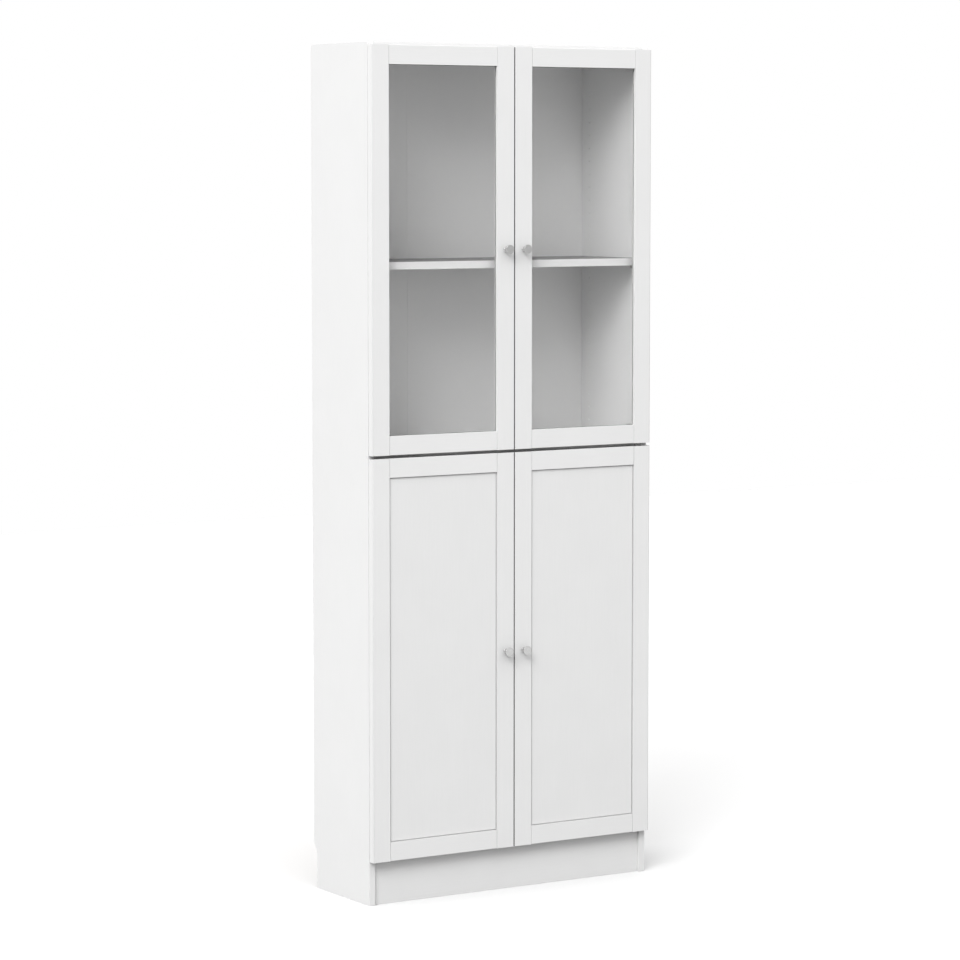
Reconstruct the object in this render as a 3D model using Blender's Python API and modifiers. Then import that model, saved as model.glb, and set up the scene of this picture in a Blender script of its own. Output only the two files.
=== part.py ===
"""Tall glazed bookcase cabinet: a board carcass with two glazed doors over two panelled doors.

Units are metres and +Z is up. The front faces -Y and +X is to the right seen from the front.
The origin is on the floor, under the middle of the whole object with its doors and knobs.
Each door is parented to an empty that stands on the door's hinge axis.
"""

import math

import bmesh
import bpy
from mathutils import Matrix, Vector

# Overall size
CABINET_WIDTH = 0.785
CABINET_HEIGHT = 2.020
CARCASS_DEPTH = 0.266
FIT_GAP = 0.0003

# Carcass boards
BOARD = 0.016
SHELF_BOARD = 0.018
BACK_BOARD = 0.003
BOARD_EDGE_BEVEL = 0.0004
PLINTH_HEIGHT = 0.105
PLINTH_SETBACK = 0.008
FIXED_SHELF_MIDDLE = 1.059
FIXED_SHELF_SETBACK = 0.020
SHELF_SETBACK = 0.012
SHELF_END_CLEARANCE = 0.001
UPPER_SHELF_TOP = 1.5115
SHELF_STEPS_APART = 29
SKIRTING_NOTCH_DEPTH = 0.012
SKIRTING_NOTCH_LOW = 0.087
SKIRTING_NOTCH_HIGH = 0.108
BACK_FOLD_WIDTH = 0.0012
BACK_FOLD_DEPTH = 0.0006
BACK_SIDE_MARGIN = 0.001
BACK_TOP_MARGIN = 0.002

# Doors
DOOR_THICKNESS = 0.016
DOOR_BACK_GAP = 0.0015
DOOR_HEIGHT = 0.9505
LOWER_DOOR_BOTTOM = 0.105
UPPER_DOOR_BOTTOM = 1.0628
DOOR_SIDE_REVEAL = 0.0005
DOOR_MEETING_GAP = 0.003
STILE_WIDTH = 0.047
RAIL_WIDTH = 0.045
DOOR_EDGE_RADIUS = 0.0035
DOOR_EDGE_SEGMENTS = 4
FRAME_LIP = 0.007
REBATE_WIDTH = 0.008
PANE_THICKNESS = 0.004
PANEL_THICKNESS = 0.005
INSERT_SIDE_PLAY = 0.001

# Knobs
KNOB_LENGTH = 0.020
KNOB_HEAD_RADIUS = 0.0110
KNOB_HEAD_RISE = 0.0015
KNOB_RIM = 0.0016
KNOB_NECK_RADIUS = 0.0050
KNOB_NECK_TOP = 0.0040
KNOB_FOOT_RADIUS = 0.0062
KNOB_FOOT_HEIGHT = 0.0016
KNOB_FLARE_POWER = 1.5
KNOB_ARC_STEPS = 5
KNOB_STEPS = 28

# Concealed hinges
HINGE_END_DISTANCE = 0.033
HINGE_AXIS_INSET = 0.004
HINGE_AXIS_FORWARD = 0.0085
CUP_EDGE_DISTANCE = 0.0225
CUP_BORE_RADIUS = 0.0175
CUP_BORE_DEPTH = 0.0115
CUP_DEPTH = 0.0112
CUP_WALL = 0.0010
CUP_FLANGE_RADIUS = 0.0190
CUP_FLANGE = 0.0008
CUP_STEPS = 24
ARM_HEIGHT = 0.012
ARM_FOOT_START = 0.016
ARM_FOOT_END = 0.052
ARM_START = 0.004
ARM_END = 0.056
ARM_LOW = 0.006
ARM_TOP = 0.013
ARM_CHAMFER = 0.002

# Shelf pins
PIN_SPACING = 0.032
PIN_RADIUS = 0.0024
PIN_HOLE_RADIUS = 0.0027
PIN_HOLE_DEPTH = 0.0100
PIN_IN_HOLE = 0.0090
PEG_RADIUS = 0.0035
PEG_LENGTH = 0.0085
PEG_CHAMFER = 0.0008
PIN_FRONT = 0.037
PIN_BACK = 0.229
PIN_STEPS = 16

# Places worked out from the sizes above
OVERALL_DEPTH = CARCASS_DEPTH + DOOR_BACK_GAP + DOOR_THICKNESS + FIT_GAP + KNOB_LENGTH
CARCASS_BACK = OVERALL_DEPTH / 2
CARCASS_FRONT = CARCASS_BACK - CARCASS_DEPTH
SIDE_BACK = CARCASS_BACK - BACK_BOARD - FIT_GAP
DOOR_BACK = CARCASS_FRONT - DOOR_BACK_GAP
DOOR_FRONT = DOOR_BACK - DOOR_THICKNESS
INNER_HALF_WIDTH = CABINET_WIDTH / 2 - BOARD
DOOR_WIDTH = (CABINET_WIDTH - DOOR_MEETING_GAP) / 2 - DOOR_SIDE_REVEAL
LOWER_SHELF_TOP = UPPER_SHELF_TOP - SHELF_STEPS_APART * PIN_SPACING

COLLECTION_NAME = "glazed_bookcase_cabinet"
CUTTER_COLLECTION_NAME = "cutters"
LEVELS = (("upper", UPPER_DOOR_BOTTOM), ("lower", LOWER_DOOR_BOTTOM))
SIDES = (("left", -1), ("right", 1))


def clear_scene():
    for obj in list(bpy.data.objects):
        bpy.data.objects.remove(obj, do_unlink=True)


def new_collection(name):
    collection = bpy.data.collections.new(name)
    bpy.context.scene.collection.children.link(collection)
    return collection


def new_material(name, colour, roughness, metallic=0.0, alpha=1.0):
    material = bpy.data.materials.new(name)
    material.use_nodes = True
    shader = material.node_tree.nodes["Principled BSDF"]
    shader.inputs["Base Color"].default_value = (*colour, 1.0)
    shader.inputs["Roughness"].default_value = roughness
    shader.inputs["Metallic"].default_value = metallic
    shader.inputs["Alpha"].default_value = alpha
    return material


def add_object(name, mesh, collection, place, material=None, parent=None):
    """Links a mesh as an object at a world place, also when it hangs on a parent empty."""
    obj = bpy.data.objects.new(name, mesh)
    collection.objects.link(obj)
    if material:
        mesh.materials.append(material)
    obj.location = Vector(place)
    if parent:
        obj.parent = parent
        obj.location -= parent.location
    return obj


def box_mesh(name, size):
    mesh = bpy.data.meshes.new(name)
    shape = bmesh.new()
    bmesh.ops.create_cube(shape, size=1.0, matrix=Matrix.Diagonal((*size, 1.0)))
    shape.to_mesh(mesh)
    shape.free()
    return mesh


def add_box(name, low, high, collection, material=None, parent=None):
    low = Vector(low)
    high = Vector(high)
    return add_object(name, box_mesh(name, high - low), collection, (low + high) / 2, material, parent)


def ease_edges(obj, width=BOARD_EDGE_BEVEL):
    bevel = obj.modifiers.new("eased edges", "BEVEL")
    bevel.width = width
    bevel.segments = 1


def cut(obj, cutter):
    boolean = obj.modifiers.new("cut by " + cutter.name, "BOOLEAN")
    boolean.operation = "DIFFERENCE"
    boolean.solver = "EXACT"
    boolean.object = cutter


def hide_cutter(obj):
    obj.hide_render = True
    obj.display_type = "WIRE"
    return obj


def prism_mesh(name, outline, length):
    """A closed flat outline in X and Y, extruded along Z by length about its middle."""
    curve = bpy.data.curves.new(name, "CURVE")
    curve.dimensions = "2D"
    curve.fill_mode = "BOTH"
    curve.extrude = length / 2
    spline = curve.splines.new("POLY")
    spline.points.add(len(outline) - 1)
    for point, (x, y) in zip(spline.points, outline):
        point.co = (x, y, 0.0, 1.0)
    spline.use_cyclic_u = True
    holder = bpy.data.objects.new(name + "_curve", curve)
    bpy.context.scene.collection.objects.link(holder)
    bpy.context.view_layer.update()
    graph = bpy.context.evaluated_depsgraph_get()
    mesh = bpy.data.meshes.new_from_object(holder.evaluated_get(graph))
    mesh.name = name
    bpy.data.objects.remove(holder, do_unlink=True)
    shape = bmesh.new()
    shape.from_mesh(mesh)
    bmesh.ops.remove_doubles(shape, verts=shape.verts, dist=1e-6)
    bmesh.ops.recalc_face_normals(shape, faces=shape.faces)
    shape.to_mesh(mesh)
    shape.free()
    return mesh


def turned_object(name, profile, steps, collection, place, material, parent=None):
    """A profile of (radius, height) points turned about the local Z axis."""
    mesh = bpy.data.meshes.new(name)
    shape = bmesh.new()
    points = [shape.verts.new((radius, 0.0, height)) for radius, height in profile]
    for first, second in zip(points, points[1:]):
        shape.edges.new((first, second))
    shape.to_mesh(mesh)
    shape.free()
    obj = add_object(name, mesh, collection, place, material, parent)
    screw = obj.modifiers.new("turned", "SCREW")
    screw.steps = steps
    screw.render_steps = steps
    screw.use_merge_vertices = True
    screw.merge_threshold = 0.00005
    screw.use_smooth_shade = True
    return obj


def side_outline():
    """The side board seen from the side, as (back to front distance, height), with the skirting notch."""
    depth = SIDE_BACK - CARCASS_FRONT
    return (
        (0.0, 0.0),
        (depth - SKIRTING_NOTCH_DEPTH, 0.0),
        (depth - SKIRTING_NOTCH_DEPTH, SKIRTING_NOTCH_LOW),
        (depth, SKIRTING_NOTCH_HIGH),
        (depth, CABINET_HEIGHT),
        (0.0, CABINET_HEIGHT),
    )


def pin_places():
    """(name, side sign, y, z of the pin's axis) of every shelf pin."""
    places = []
    for level, shelf_top in (("upper", UPPER_SHELF_TOP), ("lower", LOWER_SHELF_TOP)):
        height = shelf_top - SHELF_BOARD - FIT_GAP - PEG_RADIUS
        for side, sign in SIDES:
            for end, distance in (("front", PIN_FRONT), ("back", PIN_BACK)):
                name = "_".join((level, side, end, "shelf_pin"))
                places.append((name, side, sign, CARCASS_FRONT + distance, height))
    return places


def pin_hole_cutter(side, sign, cutters):
    """The four blind holes of one side board, as one cutter."""
    mesh = bpy.data.meshes.new(side + "_pin_holes")
    shape = bmesh.new()
    middle = sign * (INNER_HALF_WIDTH + PIN_HOLE_DEPTH / 2 - FIT_GAP)
    for _, pin_side, _, y, z in pin_places():
        if pin_side == side:
            bmesh.ops.create_cone(
                shape,
                cap_ends=True,
                segments=PIN_STEPS,
                radius1=PIN_HOLE_RADIUS,
                radius2=PIN_HOLE_RADIUS,
                depth=PIN_HOLE_DEPTH + 2 * FIT_GAP,
                matrix=Matrix.Translation((middle, y, z)) @ Matrix.Rotation(math.pi / 2, 4, "Y"),
            )
    shape.to_mesh(mesh)
    shape.free()
    return hide_cutter(add_object(mesh.name, mesh, cutters, (0.0, 0.0, 0.0)))


def make_sides(parts, cutters, board):
    upright = Matrix(((0, 0, 1), (1, 0, 0), (0, 1, 0))).to_4x4()
    for side, sign in SIDES:
        mesh = prism_mesh("side_" + side, side_outline(), BOARD)
        mesh.transform(upright)
        middle = sign * (CABINET_WIDTH - BOARD) / 2
        obj = add_object("side_" + side, mesh, parts, (middle, CARCASS_FRONT, 0.0), board)
        ease_edges(obj)
        cut(obj, pin_hole_cutter(side, sign, cutters))


def make_carcass_boards(parts, board):
    reach = INNER_HALF_WIDTH - FIT_GAP
    shelf_reach = INNER_HALF_WIDTH - SHELF_END_CLEARANCE
    board_back = SIDE_BACK
    shelf_back = SIDE_BACK - SHELF_END_CLEARANCE
    plinth_front = CARCASS_FRONT + PLINTH_SETBACK
    bottom = PLINTH_HEIGHT + FIT_GAP
    half_board = BOARD / 2
    # name, half width, front, back, lowest, highest
    boards = (
        ("top_panel", reach, CARCASS_FRONT, board_back, CABINET_HEIGHT - BOARD, CABINET_HEIGHT),
        ("bottom_panel", reach, CARCASS_FRONT, board_back, bottom, bottom + BOARD),
        ("plinth", reach, plinth_front, plinth_front + BOARD, 0.0, PLINTH_HEIGHT),
        (
            "fixed_shelf",
            reach,
            CARCASS_FRONT + FIXED_SHELF_SETBACK,
            board_back,
            FIXED_SHELF_MIDDLE - half_board,
            FIXED_SHELF_MIDDLE + half_board,
        ),
        (
            "upper_shelf",
            shelf_reach,
            CARCASS_FRONT + SHELF_SETBACK,
            shelf_back,
            UPPER_SHELF_TOP - SHELF_BOARD,
            UPPER_SHELF_TOP,
        ),
        (
            "lower_shelf",
            shelf_reach,
            CARCASS_FRONT + SHELF_SETBACK,
            shelf_back,
            LOWER_SHELF_TOP - SHELF_BOARD,
            LOWER_SHELF_TOP,
        ),
    )
    for name, half_width, front, back, low, high in boards:
        obj = add_box(name, (-half_width, front, low), (half_width, back, high), parts, board)
        ease_edges(obj)


def back_outline():
    """The back board seen from above, with a shallow V at each of its two folds."""
    half_width = CABINET_WIDTH / 2 - BACK_SIDE_MARGIN
    outline = [(-half_width, 0.0)]
    for fold in (-half_width / 3, half_width / 3):
        outline.append((fold - BACK_FOLD_WIDTH / 2, 0.0))
        outline.append((fold, BACK_FOLD_DEPTH))
        outline.append((fold + BACK_FOLD_WIDTH / 2, 0.0))
    outline.append((half_width, 0.0))
    outline.append((half_width, BACK_BOARD))
    outline.append((-half_width, BACK_BOARD))
    return outline


def make_back(parts, hardboard):
    low = SKIRTING_NOTCH_HIGH
    high = CABINET_HEIGHT - BACK_TOP_MARGIN
    mesh = prism_mesh("back_panel", back_outline(), high - low)
    place = (0.0, CARCASS_BACK - BACK_BOARD, (low + high) / 2)
    add_object("back_panel", mesh, parts, place, hardboard)


def make_shelf_pins(parts, steel):
    top = PEG_LENGTH
    profile = (
        (0.0, top),
        (PEG_RADIUS - PEG_CHAMFER, top),
        (PEG_RADIUS, top - PEG_CHAMFER),
        (PEG_RADIUS, FIT_GAP),
        (PIN_RADIUS, FIT_GAP),
        (PIN_RADIUS, -PIN_IN_HOLE),
        (0.0, -PIN_IN_HOLE),
    )
    for name, _, sign, y, z in pin_places():
        place = (sign * INNER_HALF_WIDTH, y, z)
        pin = turned_object(name, profile, PIN_STEPS, parts, place, steel)
        pin.rotation_euler = (0.0, -sign * math.pi / 2, 0.0)


def hinge_heights(door_bottom):
    low = door_bottom + HINGE_END_DISTANCE
    high = door_bottom + DOOR_HEIGHT - HINGE_END_DISTANCE
    return (("top", high), ("bottom", low))


def arm_outline(sign):
    """A hinge arm seen from above, as (distance from the side board, distance from the front)."""
    outline = (
        (FIT_GAP, ARM_FOOT_START),
        (FIT_GAP, ARM_FOOT_END),
        (ARM_LOW, ARM_END),
        (ARM_TOP - ARM_CHAMFER, ARM_END),
        (ARM_TOP, ARM_END - ARM_CHAMFER),
        (ARM_TOP, ARM_START + 2 * ARM_CHAMFER),
        (ARM_TOP - ARM_CHAMFER, ARM_START),
        (ARM_LOW + FIT_GAP, ARM_START),
        (ARM_LOW, ARM_FOOT_START - ARM_CHAMFER),
    )
    return [(-sign * across, along) for across, along in outline]


def make_hinge_arms(parts, steel):
    for level, door_bottom in LEVELS:
        for side, sign in SIDES:
            for end, height in hinge_heights(door_bottom):
                name = "_".join((level, side, end, "hinge_arm"))
                mesh = prism_mesh(name, arm_outline(sign), ARM_HEIGHT)
                place = (sign * INNER_HALF_WIDTH, CARCASS_FRONT, height)
                add_object(name, mesh, parts, place, steel)


def round_outer_edges(obj, sides):
    """Rounds the front edges that face the named sides of a door, each an (axis, sign) pair."""
    mesh = obj.data
    half = [max(vertex.co[axis] for vertex in mesh.vertices) for axis in range(3)]
    weights = mesh.attributes.new("bevel_weight_edge", "FLOAT", "EDGE")
    for edge in mesh.edges:
        ends = [mesh.vertices[index].co for index in edge.vertices]
        at_front = all(end.y < -half[1] * 0.99 for end in ends)
        on_side = any(all(end[axis] * sign > half[axis] * 0.99 for end in ends) for axis, sign in sides)
        weights.data[edge.index].value = float(at_front and on_side)
    bevel = obj.modifiers.new("rounded outer edges", "BEVEL")
    bevel.limit_method = "WEIGHT"
    bevel.width = DOOR_EDGE_RADIUS
    bevel.segments = DOOR_EDGE_SEGMENTS


def cup_profile():
    """A hinge cup with its flange; the closed end is at the top of the local Z axis."""
    inner = CUP_BORE_RADIUS - FIT_GAP - CUP_WALL
    return (
        (0.0, CUP_DEPTH),
        (CUP_BORE_RADIUS - FIT_GAP, CUP_DEPTH),
        (CUP_BORE_RADIUS - FIT_GAP, -FIT_GAP),
        (CUP_FLANGE_RADIUS, -FIT_GAP),
        (CUP_FLANGE_RADIUS, -FIT_GAP - CUP_FLANGE),
        (inner, -FIT_GAP - CUP_FLANGE),
        (inner, CUP_DEPTH - CUP_WALL),
        (0.0, CUP_DEPTH - CUP_WALL),
    )


def knob_profile():
    """A flared knob; its slightly domed face is at the top of the local Z axis."""
    dome_base = KNOB_LENGTH - KNOB_HEAD_RISE
    profile = []
    for step in range(KNOB_ARC_STEPS + 1):
        angle = math.pi / 2 * step / KNOB_ARC_STEPS
        profile.append((KNOB_HEAD_RADIUS * math.sin(angle), dome_base + KNOB_HEAD_RISE * math.cos(angle)))
    under = dome_base - KNOB_RIM
    for step in range(KNOB_ARC_STEPS + 1):
        share = step / KNOB_ARC_STEPS
        radius = KNOB_HEAD_RADIUS - (KNOB_HEAD_RADIUS - KNOB_NECK_RADIUS) * share
        profile.append((radius, under - (under - KNOB_NECK_TOP) * share**KNOB_FLARE_POWER))
    profile.append((KNOB_FOOT_RADIUS, KNOB_FOOT_HEIGHT))
    profile.append((KNOB_FOOT_RADIUS, 0.0))
    profile.append((0.0, 0.0))
    return profile


def make_door(level, door_bottom, side, sign, parts, cutters, looks):
    """One framed door. The hinge side is the cabinet's outer side, where sign points."""
    prefix = level + "_" + side + "_"
    outer = sign * (CABINET_WIDTH / 2 - DOOR_SIDE_REVEAL)
    meeting = outer - sign * DOOR_WIDTH
    top = door_bottom + DOOR_HEIGHT
    axis_x = outer - sign * HINGE_AXIS_INSET
    axis = bpy.data.objects.new(prefix + "door_axis", None)
    axis.location = (axis_x, DOOR_BACK - HINGE_AXIS_FORWARD, door_bottom)
    parts.objects.link(axis)

    hinge_inner = outer - sign * STILE_WIDTH
    meeting_inner = meeting + sign * STILE_WIDTH
    opening_low = door_bottom + RAIL_WIDTH
    opening_high = top - RAIL_WIDTH
    window = sorted((hinge_inner, meeting_inner))
    rebate_low = (window[0] - REBATE_WIDTH, DOOR_FRONT + FRAME_LIP, opening_low - REBATE_WIDTH)
    rebate_high = (window[1] + REBATE_WIDTH, DOOR_BACK + FIT_GAP, opening_high + REBATE_WIDTH)
    rebate = hide_cutter(add_box(prefix + "rebate", rebate_low, rebate_high, cutters, parent=axis))

    cup_x = outer - sign * CUP_EDGE_DISTANCE
    bore_mesh = bpy.data.meshes.new(prefix + "cup_bores")
    shape = bmesh.new()
    for _, height in hinge_heights(door_bottom):
        bmesh.ops.create_cone(
            shape,
            cap_ends=True,
            segments=CUP_STEPS,
            radius1=CUP_BORE_RADIUS,
            radius2=CUP_BORE_RADIUS,
            depth=2 * CUP_BORE_DEPTH,
            matrix=Matrix.Translation((0.0, 0.0, height)) @ Matrix.Rotation(math.pi / 2, 4, "X"),
        )
    shape.to_mesh(bore_mesh)
    shape.free()
    bores = hide_cutter(add_object(bore_mesh.name, bore_mesh, cutters, (cup_x, DOOR_BACK, 0.0), None, axis))

    # name, x limits, z limits, sides with a rounded front edge
    members = (
        ("hinge_stile", (outer, hinge_inner), (door_bottom, top), ((0, sign), (2, -1), (2, 1))),
        ("meeting_stile", (meeting_inner, meeting), (door_bottom, top), ((0, -sign), (2, -1), (2, 1))),
        ("top_rail", (window[0] + FIT_GAP, window[1] - FIT_GAP), (opening_high, top), ((2, 1),)),
        ("bottom_rail", (window[0] + FIT_GAP, window[1] - FIT_GAP), (door_bottom, opening_low), ((2, -1),)),
    )
    for name, across, heights, rounded in members:
        low = (min(across), DOOR_FRONT, heights[0])
        high = (max(across), DOOR_BACK, heights[1])
        member = add_box(prefix + name, low, high, parts, looks["frame"], axis)
        round_outer_edges(member, rounded)
        cut(member, rebate)
        if name == "hinge_stile":
            cut(member, bores)

    glazed = level == "upper"
    thickness = PANE_THICKNESS if glazed else PANEL_THICKNESS
    insert_low = (window[0] - REBATE_WIDTH + INSERT_SIDE_PLAY, 0, opening_low - REBATE_WIDTH + INSERT_SIDE_PLAY)
    insert_high = (window[1] + REBATE_WIDTH - INSERT_SIDE_PLAY, 0, opening_high + REBATE_WIDTH - INSERT_SIDE_PLAY)
    insert_front = DOOR_FRONT + FRAME_LIP + FIT_GAP
    insert = add_box(
        prefix + ("glass_pane" if glazed else "infill_panel"),
        (insert_low[0], insert_front, insert_low[2]),
        (insert_high[0], insert_front + thickness, insert_high[2]),
        parts,
        looks["glass" if glazed else "panel"],
        axis,
    )
    ease_edges(insert)

    knob_x = meeting + sign * STILE_WIDTH / 2
    knob_place = (knob_x, DOOR_FRONT - FIT_GAP, door_bottom + DOOR_HEIGHT / 2)
    knob = turned_object(prefix + "knob", knob_profile(), KNOB_STEPS, parts, knob_place, looks["knob"], axis)
    knob.rotation_euler = (math.pi / 2, 0.0, 0.0)

    for end, height in hinge_heights(door_bottom):
        cup_place = (cup_x, DOOR_BACK, height)
        name = prefix + end + "_hinge_cup"
        cup = turned_object(name, cup_profile(), CUP_STEPS, parts, cup_place, looks["hinge"], axis)
        cup.rotation_euler = (math.pi / 2, 0.0, 0.0)


def main():
    clear_scene()
    parts = new_collection(COLLECTION_NAME)
    cutters = new_collection(CUTTER_COLLECTION_NAME)
    board = new_material("white_board", (0.88, 0.88, 0.87), 0.45)
    hardboard = new_material("white_hardboard", (0.80, 0.80, 0.79), 0.55)
    steel = new_material("nickel_steel", (0.62, 0.62, 0.62), 0.30, metallic=1.0)
    looks = {
        "frame": new_material("white_lacquer", (0.88, 0.88, 0.87), 0.38),
        "panel": new_material("white_panel", (0.86, 0.86, 0.85), 0.40),
        "glass": new_material("clear_glass", (0.90, 0.93, 0.92), 0.02, alpha=0.25),
        "knob": new_material("satin_metal", (0.60, 0.59, 0.57), 0.32, metallic=1.0),
        "hinge": steel,
    }
    make_sides(parts, cutters, board)
    make_carcass_boards(parts, board)
    make_back(parts, hardboard)
    make_shelf_pins(parts, steel)
    make_hinge_arms(parts, steel)
    for level, door_bottom in LEVELS:
        for side, sign in SIDES:
            make_door(level, door_bottom, side, sign, parts, cutters, looks)


main()
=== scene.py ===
"""Looks of the glazed bookcase cabinet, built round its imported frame. Metres, +Z up, front at -Y."""

import math

import bmesh
import bpy
from mathutils import Matrix, Vector


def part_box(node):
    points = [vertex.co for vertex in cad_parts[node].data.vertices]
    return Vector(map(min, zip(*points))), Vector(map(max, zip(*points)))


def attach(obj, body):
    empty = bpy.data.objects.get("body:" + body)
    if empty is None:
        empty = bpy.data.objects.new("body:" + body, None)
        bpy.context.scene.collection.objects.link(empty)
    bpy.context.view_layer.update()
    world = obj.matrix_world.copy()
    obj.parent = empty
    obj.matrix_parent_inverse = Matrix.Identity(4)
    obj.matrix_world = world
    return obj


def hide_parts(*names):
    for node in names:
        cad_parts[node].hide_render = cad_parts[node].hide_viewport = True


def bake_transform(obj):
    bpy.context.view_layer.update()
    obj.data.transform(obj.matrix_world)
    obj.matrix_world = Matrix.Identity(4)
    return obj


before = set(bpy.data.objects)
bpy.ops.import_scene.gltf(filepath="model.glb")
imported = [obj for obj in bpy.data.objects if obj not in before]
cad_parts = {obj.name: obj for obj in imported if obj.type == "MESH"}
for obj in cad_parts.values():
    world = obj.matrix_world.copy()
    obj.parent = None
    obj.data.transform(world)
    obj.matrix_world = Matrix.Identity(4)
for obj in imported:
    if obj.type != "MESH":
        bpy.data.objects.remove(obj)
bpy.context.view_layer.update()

LEVELS = ("upper", "lower")
SIDES = (("left", -1), ("right", 1))
ENDS = ("top", "bottom")

# Places read from the frame
SIDE_LOW, SIDE_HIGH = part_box("side_left")
INNER_HALF_WIDTH = -SIDE_HIGH.x
CARCASS_FRONT = SIDE_LOW.y
SIDE_BACK = SIDE_HIGH.y
HEIGHT = SIDE_HIGH.z
DOOR_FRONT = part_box("upper_left_hinge_stile")[0].y
DOOR_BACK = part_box("upper_left_hinge_stile")[1].y

# Edges, rebates and bores
BOARD_ROUND = 0.0006
ARRIS = 0.0002
LEFT_SEAM = 0.0007
RIGHT_SEAM = 0.0002
RAIL_STEP = 0.0005
DOOR_EDGE_ROUND = 0.0040
MEETING_ROUND = 0.0008
LEVEL_ROUND = 0.0012
REBATE_WIDTH = 0.008
FRAME_LIP = 0.007
CUP_RADIUS = 0.0175
CUP_BORE = 0.0115
CUP_INSET = 0.0225
SCREW_SPREAD = 0.024
SCREW_OFFSET = 0.006
KNOB_HOLE_RADIUS = 0.0022
KNOB_HOLE_DEPTH = 0.015

# Pin holes: spacing, most steps from a used pin, size, places behind the carcass front, and what
# stays clear of them at the foot, at the top, round the fixed shelf and by the hinge plates
PIN_PITCH = 0.032
PIN_STEPS = 40
PIN_HOLE_RADIUS = 0.0020
PIN_HOLE_DEPTH = 0.0022
PIN_HOLE_COLUMNS = (0.037, 0.229)
CLEAR_FOOT = 0.150
CLEAR_TOP = 0.040
CLEAR_SHELF = 0.045
CLEAR_HINGE = 0.022

# Sides of round cutters, the radius from which they take more, and the angle of edges kept sharp
HOLE_SIDES = 16
BORE_SIDES = 48
BORE_RADIUS = 0.01
SHARP_ANGLE = 40.0

# How near two points or a face and a plane lie when they count as one place, in metres
SAME_POINT = 1e-6
SAME_PLANE = 1e-4

# Dark lines round the openings: the glass seal's reach inside and behind the lip, a real seal made
# near black to paint the shadow line at the lip, and the gaps left, right, below and above the
# raised field of the lower panels
SEAL_REACH = 0.0009
SEAL_WIDTH = 0.004
FIELD_GAPS = (0.0036, 0.0012, 0.0022, 0.0018)
FIELD_RISE = 0.0030
FIELD_ROUND = 0.0004

# Skirting notch of the side boards, and the angle from which their edges are rounded
NOTCH_DEPTH = 0.012
NOTCH_LOW = 0.087
NOTCH_HIGH = 0.108
NOTCH_EDGE_ANGLE = 20.0

# Camera: place, heading right of +Y, downward tilt, lens
CAMERA_PLACE = (-4.4529, -7.1053, 1.7307)
CAMERA_HEADING = 31.99
CAMERA_TILT = 5.12
CAMERA_LENS = 130.8

# Softbox: degrees left of the front and above the horizon, distance, width, power and the share of
# the cabinet's height that it points at
KEY_TURN = 50.0
KEY_RISE = 36.0
KEY_DISTANCE = 20.0
KEY_SIZE = 8.7
KEY_POWER = 2000.0
KEY_AIM = 0.45

# Brightness of the room from straight below (0) over the horizon (0.5) to straight above (1),
# and the horizontal direction in which it is brighter, with the share by which it is
SKY = ((0.49, 0.56), (0.62, 0.58), (0.70, 0.70), (0.80, 0.95), (0.88, 1.7), (1.0, 1.7))
BRIGHT_SIDE = (-0.85, -0.5, 0.0)
BRIGHT_SHARE = 0.5
FLOOR_REACH = 8.0


# ---- materials


def start_material(name, colour, roughness, metallic=0.0):
    material = bpy.data.materials.new(name)
    material.use_nodes = True
    tree = material.node_tree
    shader = tree.nodes["Principled BSDF"]
    shader.inputs["Base Color"].default_value = (*colour, 1.0)
    shader.inputs["Roughness"].default_value = roughness
    shader.inputs["Metallic"].default_value = metallic
    return material, tree, shader


def object_place(tree, stretch=(1.0, 1.0, 1.0)):
    """Object coordinates, scaled along each axis so that a pattern can run along one of them."""
    coordinates = tree.nodes.new("ShaderNodeTexCoord")
    mapping = tree.nodes.new("ShaderNodeMapping")
    mapping.inputs["Scale"].default_value = stretch
    tree.links.new(coordinates.outputs["Object"], mapping.inputs["Vector"])
    return mapping.outputs["Vector"]


def noise(tree, place, scale, detail=2.0, rough=0.5):
    node = tree.nodes.new("ShaderNodeTexNoise")
    node.inputs["Scale"].default_value = scale
    node.inputs["Detail"].default_value = detail
    node.inputs["Roughness"].default_value = rough
    tree.links.new(place, node.inputs["Vector"])
    return node.outputs["Fac"]


def spread(tree, value, low, high, start=0.3, end=0.7):
    """Maps a value that lies between start and end to the range from low to high."""
    node = tree.nodes.new("ShaderNodeMapRange")
    node.inputs["From Min"].default_value = start
    node.inputs["From Max"].default_value = end
    node.inputs["To Min"].default_value = low
    node.inputs["To Max"].default_value = high
    tree.links.new(value, node.inputs["Value"])
    return node.outputs["Result"]


def two_tone(tree, value, first, second):
    """A colour between two, by a value between 0 and 1."""
    node = tree.nodes.new("ShaderNodeMix")
    node.data_type = "RGBA"
    node.inputs["A"].default_value = (*first, 1.0)
    node.inputs["B"].default_value = (*second, 1.0)
    tree.links.new(value, node.inputs["Factor"])
    return node.outputs["Result"]


def relief(tree, shader, heights):
    """Stacks bumps on a shader, each a (value, strength, distance)."""
    last = None
    for value, strength, distance in heights:
        bump = tree.nodes.new("ShaderNodeBump")
        bump.inputs["Strength"].default_value = strength
        bump.inputs["Distance"].default_value = distance
        tree.links.new(value, bump.inputs["Height"])
        if last:
            tree.links.new(last, bump.inputs["Normal"])
        last = bump.outputs["Normal"]
    tree.links.new(last, shader.inputs["Normal"])


def shaded(colour, amount):
    return tuple(channel * amount for channel in colour)


def tone_by(tree, shader, value, first, second, start=0.3, end=0.7):
    """Gives a shader a colour between two, by a value that lies between start and end."""
    share = spread(tree, value, 0.0, 1.0, start, end)
    tree.links.new(two_tone(tree, share, first, second), shader.inputs["Base Color"])


def weighted_sum(tree, value, weight, rest):
    """The value times its weight, plus the rest."""
    node = tree.nodes.new("ShaderNodeMath")
    node.operation = "MULTIPLY_ADD"
    node.inputs[1].default_value = weight
    tree.links.new(value, node.inputs[0])
    tree.links.new(rest, node.inputs[2])
    return node.outputs[0]


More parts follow.
